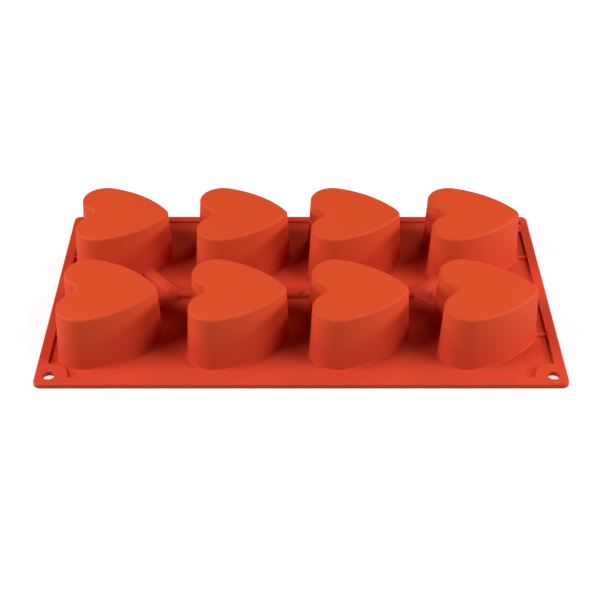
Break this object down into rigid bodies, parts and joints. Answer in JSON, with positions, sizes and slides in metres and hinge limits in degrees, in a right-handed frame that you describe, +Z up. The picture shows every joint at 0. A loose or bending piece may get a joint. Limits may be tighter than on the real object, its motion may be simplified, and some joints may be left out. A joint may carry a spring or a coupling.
{
  "type": "silicone mould",
  "caption": "Flexible silicone mould sheet with rows of deep heart-shaped cups, a low rim and a hole through each corner, lying with its cups up.",
  "frame": {"origin": "middle of the sheet, on the table that the mould lies on", "axes": "+X along the sheet, towards the hearts' tips; +Y across it, towards the back; +Z up, from the table to the cups' closed faces"},
  "size_m": [0.3, 0.175, 0.0355],
  "materials": {
    "silicone": "matt"
  },
  "bodies": {
    "root": {"mould": "silicone"}
  },
  "joints": []
}
